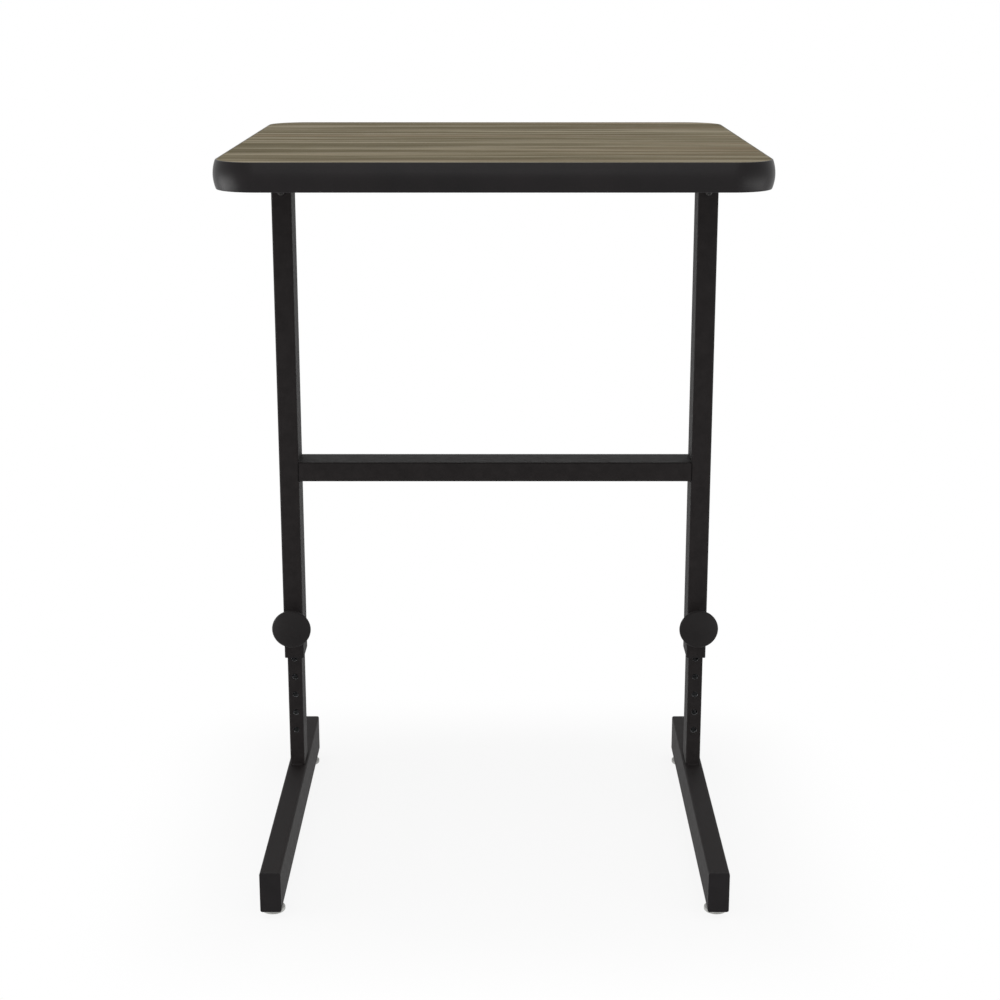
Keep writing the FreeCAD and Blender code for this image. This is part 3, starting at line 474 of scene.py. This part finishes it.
# Uprights and their bushes
# Two rectangular steel tubes that slide over the inner legs, powder-coated black.
# A nylon sleeve lines each lower end, and its lip shows as a thin line under the tube.

coat(BLACK_COAT, *(f"{side}_upright" for side in SIDES))
coat(BLACK_NYLON, *(f"{side}_bush" for side in SIDES))


# Crossbar and its welds
# A tube of the same depth between the uprights, held by a bead under each end.
# Welded up with the uprights and coated with them.

CROSSBAR_WELD = 0.0025
coat(BLACK_COAT, "crossbar")
bar_low, bar_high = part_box("crossbar")
bead_low, bead_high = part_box("crossbar_welds")
bar_beads = [straight_weld((face, bead_low.y, bar_low.z), (face, bead_high.y, bar_low.z),
                           (way, 0, 0), (0, 0, -1), CROSSBAR_WELD)
             for face, way in ((bar_low.x, 1), (bar_high.x, -1))]
bar_weld = skin("crossbar_weld_beads", BLACK_COAT, *bar_beads)
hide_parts("crossbar_welds")
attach(bar_weld, "frame")


# Pull pins: housings, caps, pins and springs
# A turned steel housing, welded on each upright and coated with it, holds a stepped pin and its spring.
# The pin, the spring and the ring that is pressed in over them are zinc plated.

RING_WELD = 0.002
RING_STEPS = 144


def ring_bead(centre, radius):
    """A weld all round a housing's foot.

    Its corner's line is a circle on the upright's front face. One face runs outward from it, one forward.
    """
    angle = np.linspace(0, 2 * math.pi, RING_STEPS, endpoint=False)
    outward = np.stack([np.cos(angle), np.zeros(RING_STEPS), np.sin(angle)], axis=1)
    forward = np.tile(np.array([0.0, -1.0, 0.0]), (RING_STEPS, 1))
    girth = 2 * math.pi * radius
    return weld_bead(centre + radius * outward, outward, forward, RING_WELD, girth, closed=True)


coat(BLACK_COAT, *(f"{side}_barrel" for side in SIDES))
coat(ZINC, *(f"{side}_{piece}" for side in SIDES for piece in ("barrel_cap", "pin")))
rings = []
for side in SIDES:
    barrel_low, barrel_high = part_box(f"{side}_barrel")
    barrel_x, _, barrel_z = middle(f"{side}_barrel")
    barrel_foot = np.array([barrel_x, barrel_high.y, barrel_z])
    rings.append(ring_bead(barrel_foot, (barrel_high.x - barrel_low.x) / 2))
ring_weld = skin("barrel_weld_rings", BLACK_COAT, *rings, loop_rows=True)
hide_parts("barrel_welds")
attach(ring_weld, "frame")

SPRING_WIRE = 0.0008
SPRING_TURNS = 4
SPRING_CLOSING = 0.485
WIRE_STEPS = 12
TURN_STEPS = 48


def coil_spring(name):
    """A wire wound on a helix from the housing's ring to the pin's collar.

    At a share of its turns, the wire's middle has come this share of the length: the share less the closing
    times the sine of a full turn of the share, over a full turn. So the coils are closest at both ends.
    The wire's section is a circle in the plane of the axis and the radius.
    """
    low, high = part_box(name)
    centre = middle(name)
    coil_radius = (high.x - low.x - SPRING_WIRE) / 2
    share = np.linspace(0, 1, SPRING_TURNS * TURN_STEPS + 1)
    travel = share - SPRING_CLOSING * np.sin(2 * math.pi * share) / (2 * math.pi)
    forward = low.y + SPRING_WIRE / 2 + travel * (high.y - low.y - SPRING_WIRE)
    wound = 2 * math.pi * SPRING_TURNS * share
    around = np.linspace(0, 2 * math.pi, WIRE_STEPS, endpoint=False)
    reach = coil_radius + SPRING_WIRE / 2 * np.cos(around)
    x = centre[0] + reach * np.cos(wound)[:, None]
    y = forward[:, None] + SPRING_WIRE / 2 * np.sin(around)
    z = centre[2] + reach * np.sin(wound)[:, None]
    return skin(name.replace("spring", "coil_spring"), ZINC, np.dstack([x, y, z]), caps=True)


for side in SIDES:
    spring = coil_spring(f"{side}_spring")
    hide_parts(f"{side}_spring")
    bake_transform(spring)


# Knobs
# Round hand knobs screwed on the pins' stems: a shallow dome, a full round rim and a recess behind.
# Compression moulded in black phenolic, with a fine parting line round the rim.

KNOB_RIM = 0.0035
KNOB_DOME = 0.0045
KNOB_PARTING = 0.00012
KNOB_PARTING_HALF = 0.0002
KNOB_PARTING_TURN = 4
KNOB_RECESS_RADIUS = 0.010
KNOB_RECESS_DEPTH = 0.0028
KNOB_RECESS_ROUND = 0.0005
KNOB_STEM_RADIUS = 0.0025
KNOB_STEM_DEPTH = 0.0065
KNOB_STEPS = 160


def knob_profile(radius, depth):
    """A knob's half section, as (radius, depth) points from the middle of its face to its stem hole.

    The rim is a half round, and the dome an arc that meets it smoothly. With r the radius of the ring of
    the rim's centres, the dome's radius is (r squared + dome squared) over twice the dome, plus the rim's.
    """
    rim = radius - KNOB_RIM
    widest = depth - KNOB_RIM
    dome_inside = (rim ** 2 + KNOB_DOME ** 2) / (2 * KNOB_DOME)
    dome_radius = dome_inside + KNOB_RIM
    dome_end = math.degrees(math.asin(rim / dome_inside)) - 90
    seat = depth - KNOB_RECESS_DEPTH
    return np.concatenate([
        arc((0.0, dome_radius), dome_radius, -90, dome_end, steps=28),
        arc((rim, widest), KNOB_RIM, dome_end, -KNOB_PARTING_TURN, steps=12)[1:],
        [[radius, widest - KNOB_PARTING_HALF], [radius + KNOB_PARTING, widest],
         [radius, widest + KNOB_PARTING_HALF]],
        arc((rim, widest), KNOB_RIM, KNOB_PARTING_TURN, 90, steps=12),
        [[KNOB_RECESS_RADIUS + KNOB_RECESS_ROUND, depth], [KNOB_RECESS_RADIUS, depth - KNOB_RECESS_ROUND],
         [KNOB_RECESS_RADIUS, seat], [KNOB_STEM_RADIUS, seat],
         [KNOB_STEM_RADIUS, seat - KNOB_STEM_DEPTH], [0.0, seat - KNOB_STEM_DEPTH]],
    ])


BLACK_PHENOLIC = moulded("black_phenolic", colour(26, 24, 24), colour(30, 28, 28),
                         roughness=0.58, specular=0.12, grain=1800.0)
for side in SIDES:
    knob_low, knob_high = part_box(f"{side}_knob")
    knob_x, _, knob_z = middle(f"{side}_knob")
    profile = knob_profile((knob_high.x - knob_low.x) / 2, knob_high.y - knob_low.y)
    knob_grid = round_turn(profile[:, 0], profile[:, 1], (knob_x, knob_low.y, knob_z), (0, 1, 0), KNOB_STEPS)
    knob = skin(f"{side}_hand_knob", BLACK_PHENOLIC, knob_grid)
    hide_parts(f"{side}_knob")
    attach(knob, f"{side}_pull_pin")


# Top plates, plugs and their screws
# Flat steel plates with a short tube plug welded under each, which enters the upright.
# Powder-coated, and held by blackened button-head screws through the uprights' front walls.

def black_oxide():
    """Blackened steel: a dark oily metal, a little worn to grey in spots."""
    finish, tree, shader = new_finish("black_oxide", roughness=0.41, specular=0.5, metallic=1.0)
    wear = speckle(tree, 700.0, detail=4.0)
    paint(tree, shader, wear, (0.4, colour(42, 41, 42)), (0.75, colour(74, 72, 71)))
    uneven_gloss(tree, shader, wear, spread=0.07)
    relief(tree, shader, speckle(tree, 3000.0), height=0.00001)
    return finish


coat(BLACK_COAT, *(f"{side}_{piece}" for side in SIDES for piece in ("top_plate", "plug")))
coat(black_oxide(), "plug_screws")


# Board of the top: core and backing sheet
# A slab of raw particle board with a thin dark balancing sheet glued underneath.
# Sawn and routed to shape, with a kerf round its edge for the moulding.

def particle_board():
    """Raw particle board: pressed chips in several wood tones."""
    finish, tree, shader = new_finish("particle_board", roughness=0.85, specular=0.2)
    chips = speckle(tree, (420.0, 420.0, 900.0), detail=6.0, distortion=1.2)
    paint(tree, shader, chips, (0.3, colour(122, 92, 62)), (0.5, colour(178, 145, 106)),
          (0.7, colour(206, 178, 138)))
    relief(tree, shader, chips, height=0.0002)
    return finish


def backing_sheet():
    """A plain resin-soaked paper sheet: dark brown with a faint fibre."""
    finish, tree, shader = new_finish("backing_sheet", roughness=0.7, specular=0.25)
    fibre = speckle(tree, 300.0, detail=6.0, distortion=0.8)
    paint(tree, shader, fibre, (0.3, colour(62, 54, 46)), (0.7, colour(76, 67, 58)))
    relief(tree, shader, fibre, height=0.00004)
    return finish


coat(particle_board(), "top_core")
coat(backing_sheet(), "top_backer")


# Laminate
# A hard printed sheet glued on the board: an olive-brown linear woodgrain that runs across the desk.
# Matte, with a fine ticking embossed along the grain.

GRAIN_SPACING = 0.0042
GRAIN_WANDER = 11.0
WARM_TONE = colour(136, 112, 88)
WARM_START = 0.58
WARM_END = 0.72
WARM_SHARE = 0.305


def growth_lines(tree):
    """A saw wave across the grain, from 0 at a dark line to 1 just before the next.

    Its turns are the distance along Y over the spacing, plus a slow noise that makes the lines wander.
    """
    across = worked(tree, "DIVIDE", place_along(tree, "Y"), GRAIN_SPACING)
    drift = worked(tree, "MULTIPLY_ADD", speckle(tree, (0.9, 9.0, 1.0)), GRAIN_WANDER, across)
    return worked(tree, "FRACT", drift)


def woodgrain_laminate():
    """Linear woodgrain drawn out along X: broad bands, narrower streaks, growth lines, fibres and ticks.

    Here and there a warmer tone is laid over them.
    """
    finish, tree, shader = new_finish("woodgrain_laminate", roughness=0.75, specular=0.1)
    bands = speckle(tree, (1.7, 33.0, 2.2), distortion=0.2)
    streaks = speckle(tree, (4.5, 120.0, 1.0), detail=3.0, distortion=0.1)
    fibres = speckle(tree, (9.0, 480.0, 1.0), detail=3.0)
    ticks = speckle(tree, (34.0, 1500.0, 1.0))
    amount = blend_of(tree, bands, streaks, share=0.8)
    amount = blend_of(tree, amount, growth_lines(tree), share=0.16)
    amount = blend_of(tree, amount, fibres, share=0.5)
    amount = blend_of(tree, amount, ticks, share=0.45)
    wood = tones(tree, amount, (0.28, colour(76, 67, 41)), (0.447, colour(104, 95, 71)),
                 (0.553, colour(119, 110, 86)), (0.72, colour(151, 141, 120)))
    warmth = speckle(tree, (1.3, 24.0, 1.0), detail=1.0)
    warm_share = ranged(tree, warmth, WARM_START, WARM_END, 0.0, WARM_SHARE)
    tree.links.new(laid_over(tree, wood, WARM_TONE, warm_share), shader.inputs["Base Color"])
    uneven_gloss(tree, shader, streaks, spread=0.05)
    relief(tree, shader, ticks, height=0.00003)
    return finish


coat(woodgrain_laminate(), "top_laminate")


# Edge moulding
# A crowned black T-section pressed into the kerf all round the board; its two ends butt at the back.
# Extruded in satin vinyl, so fine die lines run along it.

def extruded_vinyl():
    """Satin black vinyl with fine lines along the extrusion, which lie level on the desk."""
    finish, tree, shader = new_finish("extruded_vinyl", roughness=0.38, specular=0.15)
    cloud = speckle(tree, 25.0, detail=3.0)
    paint(tree, shader, cloud, (0.3, colour(20, 18, 19)), (0.7, colour(25, 22, 23)))
    lines = speckle(tree, (3.0, 3.0, 2600.0))
    uneven_gloss(tree, shader, lines, spread=0.04)
    relief(tree, shader, lines, height=0.000012)
    return finish


MOULDING_CROWN = 0.003
MOULDING_REACH = 0.0045
MOULDING_LIP_ROUND = 0.001
MOULDING_BARB = 0.009
MOULDING_BARB_HALF = 0.0011
MOULDING_BUTT = 0.0003
BOARD_CORNER = 0.0463
CORNER_STEPS = 33


def crowned_section(half_height):
    """The moulding's section, as (outward, up) points about the middle of the board's edge.

    The crown is an arc whose radius is (half height squared + crown squared) over twice the crown. At both
    lips a small round touches it and ends level. The barb goes back into the board.
    """
    crown_radius = (half_height ** 2 + MOULDING_CROWN ** 2) / (2 * MOULDING_CROWN)
    centre = MOULDING_REACH - crown_radius
    lip_up = half_height - MOULDING_LIP_ROUND
    lip_turn = math.asin(lip_up / (crown_radius - MOULDING_LIP_ROUND))
    lip_out = centre + (crown_radius - MOULDING_LIP_ROUND) * math.cos(lip_turn)
    tilt = math.degrees(lip_turn)
    return np.concatenate([
        [[0.0, -half_height]],
        arc((lip_out, -lip_up), MOULDING_LIP_ROUND, -90, -tilt, steps=8),
        arc((centre, 0.0), crown_radius, -tilt, tilt, steps=24)[1:-1],
        arc((lip_out, lip_up), MOULDING_LIP_ROUND, tilt, 90, steps=8),
        [[0.0, half_height], [0.0, MOULDING_BARB_HALF], [-MOULDING_BARB, MOULDING_BARB_HALF],
         [-MOULDING_BARB, -MOULDING_BARB_HALF], [0.0, -MOULDING_BARB_HALF]],
    ])


def board_edge(half):
    """The points of the board's edge and their outward ways, from the butt at the back round to it again.

    A corner's point is the corner's centre plus its radius times the outward way, which turns by 90 degrees.
    """
    quarter = np.repeat(np.arange(4), CORNER_STEPS)
    way = np.radians(90 + 90 * quarter + np.tile(np.linspace(0, 90, CORNER_STEPS), 4))
    diagonal = np.radians(135 + 90 * quarter)
    outward = np.stack([np.cos(way), np.sin(way)], axis=1)
    centre = np.sign(np.stack([np.cos(diagonal), np.sin(diagonal)], axis=1)) * (half - BOARD_CORNER)
    start, end = np.array([[[-MOULDING_BUTT / 2, half[1]]], [[MOULDING_BUTT / 2, half[1]]]])
    back = np.array([[0.0, 1.0]])
    points = np.concatenate([start, centre + BOARD_CORNER * outward, end])
    return points, np.concatenate([back, outward, back])


edge_low, edge_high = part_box("edge_moulding")
section = crowned_section((edge_high.z - edge_low.z) / 2)
line, outward = board_edge(np.array(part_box("top_laminate")[1])[:2])
# Each point is the edge's point plus the section's reach along the outward way, at the section's height.
flat = line[:, None] + section[None, :, :1] * outward[:, None]
rise = np.broadcast_to((edge_low.z + edge_high.z) / 2 + section[:, 1], flat.shape[:2])
moulding = skin("crowned_edge_moulding", extruded_vinyl(), np.dstack([flat, rise]), caps=True)
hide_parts("edge_moulding")
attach(moulding, "frame")


# Top screws
# Eight pan-head wood screws that come up through the plates into the board.
# Cold headed with a cross recess, and zinc plated.

SCREW_INSET = np.array([0.009, 0.015])
SCREW_HEAD_RADIUS = 0.0043
SCREW_HEAD_HEIGHT = 0.0028
SCREW_CROWN = 0.00215
SCREW_SHANK = 0.0021
SCREW_TIP = 0.004
SCREW_STEPS = 96
FACE_POINTS = 28
RECESS_REACH = 0.0022
RECESS_HALF = 0.00045
RECESS_EDGE = 0.0002
RECESS_DEPTH = 0.0014
RECESS_END = 1 / 3


def pan_head_screw(length):
    """A screw that points up, with its head's seat at the origin: a turned profile with a cross recess.

    The head's face is pressed in by the recess's depth along two arms. The depth falls to nothing over the
    edge's width at an arm's sides, and over the end's share of its reach at its ends.
    """
    crown_start = SCREW_CROWN - SCREW_HEAD_HEIGHT
    flat_radius = SCREW_HEAD_RADIUS - SCREW_CROWN
    face = np.linspace(0, flat_radius, FACE_POINTS)
    profile = np.concatenate([
        np.stack([face, np.full(FACE_POINTS, -SCREW_HEAD_HEIGHT)], axis=1),
        arc((flat_radius, crown_start), SCREW_CROWN, -90, 0, steps=12)[1:],
        [[SCREW_HEAD_RADIUS, 0.0], [SCREW_SHANK, 0.0], [SCREW_SHANK, length - SCREW_TIP], [0.0, length]],
    ])
    grid = round_turn(profile[:, 0], profile[:, 1], (0, 0, 0), (0, 0, 1), SCREW_STEPS)
    x, y = np.abs(grid[:, :, 0]), np.abs(grid[:, :, 1])
    arm = np.clip((RECESS_HALF - np.minimum(x, y)) / RECESS_EDGE, 0, 1)
    fall = np.clip((1 - np.maximum(x, y) / RECESS_REACH) / RECESS_END, 0, 1)
    grid[:, :, 2] += RECESS_DEPTH * arm * fall * (profile[:, 1:] < crown_start)
    return grid


screws = []
screw_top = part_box("top_screws")[1].z
for side in SIDES:
    plate_low, plate_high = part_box(f"{side}_top_plate")
    screw = pan_head_screw(screw_top - plate_low.z)
    reach = np.array((plate_high - plate_low) / 2)[:2] - SCREW_INSET
    for across in (-1, 1):
        for along in (-1, 1):
            spot = middle(f"{side}_top_plate")[:2] + reach * [across, along]
            screws.append(screw + np.array([*spot, plate_low.z]))
screw_piece = skin("pan_head_screws", ZINC, *screws)
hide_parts("top_screws")
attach(screw_piece, "frame")


# Studio
# A broad white floor under an even white surround, lit by two large soft lamps from above and in front.
# A weak one beside the camera reaches into the pin holes, and two low ones light the sides and corners.

FLOOR_HALF = 30.0
FLOOR_WHITE = (0.9, 0.9, 0.9, 1.0)
SHADE_HALF = (0.29, 0.27, 1.0)
SHADE_FADE = 0.24
SHADE_EVEN = 0.88
SURROUND_WHITE = (1.0, 1.0, 1.0, 1.0)
SURROUND_LIGHT = 0.45


def seen_directly(tree):
    """1 for a ray from the camera, a mirror or glass, and 0 for a ray that lights a matte surface."""
    rays = tree.nodes.new("ShaderNodeLightPath")
    mirrored = worked(tree, "MAXIMUM", rays.outputs["Is Glossy Ray"], rays.outputs["Is Transmission Ray"])
    return worked(tree, "MAXIMUM", rays.outputs["Is Camera Ray"], mirrored)


def white_floor():
    """A white floor that keeps the desk's soft shadow.

    The camera and mirrors see it lit evenly in white, apart from a share of its own shading near the desk.
    That share fades out with the distance from a rectangle round the feet.
    """
    finish = bpy.data.materials.new("white_floor")
    finish.use_nodes = True
    tree = finish.node_tree
    tree.nodes.clear()
    matte = tree.nodes.new("ShaderNodeBsdfDiffuse")
    matte.inputs["Color"].default_value = FLOOR_WHITE
    glow = tree.nodes.new("ShaderNodeEmission")
    away = tree.nodes.new("ShaderNodeTexCoord").outputs["Object"]
    for operation, value in (("ABSOLUTE", None), ("SUBTRACT", SHADE_HALF), ("MAXIMUM", (0.0, 0.0, 0.0))):
        step = tree.nodes.new("ShaderNodeVectorMath")
        step.operation = operation
        tree.links.new(away, step.inputs[0])
        if value:
            step.inputs[1].default_value = value
        away = step.outputs["Vector"]
    distance = tree.nodes.new("ShaderNodeVectorMath")
    distance.operation = "LENGTH"
    tree.links.new(away, distance.inputs[0])
    even = ranged(tree, distance.outputs["Value"], 0.0, SHADE_FADE, SHADE_EVEN, 1.0, way="SMOOTHSTEP")
    mix = tree.nodes.new("ShaderNodeMixShader")
    output = tree.nodes.new("ShaderNodeOutputMaterial")
    tree.links.new(worked(tree, "MULTIPLY", seen_directly(tree), even), mix.inputs["Fac"])
    tree.links.new(matte.outputs["BSDF"], mix.inputs[1])
    tree.links.new(glow.outputs["Emission"], mix.inputs[2])
    tree.links.new(mix.outputs["Shader"], output.inputs["Surface"])
    return finish


floor_mesh = bpy.data.meshes.new("floor")
floor_mesh.from_pydata([(-FLOOR_HALF, -FLOOR_HALF, 0), (FLOOR_HALF, -FLOOR_HALF, 0),
                        (FLOOR_HALF, FLOOR_HALF, 0), (-FLOOR_HALF, FLOOR_HALF, 0)], [], [(0, 1, 2, 3)])
floor_mesh.materials.append(white_floor())
added("floor", floor_mesh)


def soft_lamp(name, place, aim, width, height, power):
    """A large flat lamp that faces a point, its width level."""
    lamp = bpy.data.lights.new(name, "AREA")
    lamp.shape = "RECTANGLE"
    lamp.size = width
    lamp.size_y = height
    lamp.energy = power
    holder = added(name, lamp)
    holder.location = place
    facing = Vector(aim) - Vector(place)
    holder.rotation_euler = facing.to_track_quat("-Z", "Y").to_euler()


soft_lamp("overhead_lamp", place=(0.0, -1.0, 5.0), aim=(0.0, 0.0, 0.5), width=4.0, height=4.0, power=67.0)
soft_lamp("front_lamp", place=(0.0, -4.2, 3.6), aim=(0.0, 0.0, 0.7), width=3.0, height=1.2, power=25.0)
soft_lamp("fill_lamp", place=(0.0, -4.2, 1.85), aim=(0.0, 0.0, 0.3), width=1.4, height=0.8, power=12.5)
soft_lamp("left_lamp", place=(-1.73, -0.38, 0.3), aim=(-0.3, -0.29, 0.88), width=1.4, height=0.9, power=20.0)
soft_lamp("right_lamp", place=(1.6, -0.85, 0.25), aim=(0.3, -0.29, 0.88), width=1.8, height=0.8, power=13.5)

world = bpy.data.worlds.new("surround")
bpy.context.scene.world = world
world.use_nodes = True
sky = world.node_tree
backdrop = sky.nodes["Background"]
backdrop.inputs["Color"].default_value = SURROUND_WHITE
sky.links.new(ranged(sky, seen_directly(sky), 0.0, 1.0, SURROUND_LIGHT, 1.0), backdrop.inputs["Strength"])
bpy.context.scene.view_settings.view_transform = "Standard"


# Camera
# At the photograph's viewing angle: in front of the desk and a little above its top, tilted down.
# Its lens and place put the desk's straight edges where the photograph has them.

CAMERA_SENSOR = 36.0
CAMERA_LENS = 70.17
CAMERA_PLACE = (0.0065, -2.388, 1.0912)
CAMERA_TILT = 14.968
camera_data = bpy.data.cameras.new("camera")
camera_data.sensor_width = CAMERA_SENSOR
camera_data.lens = CAMERA_LENS
camera = added("camera", camera_data)
camera.location = CAMERA_PLACE
camera.rotation_euler = (math.radians(90 - CAMERA_TILT), 0.0, 0.0)
bpy.context.scene.camera = camera
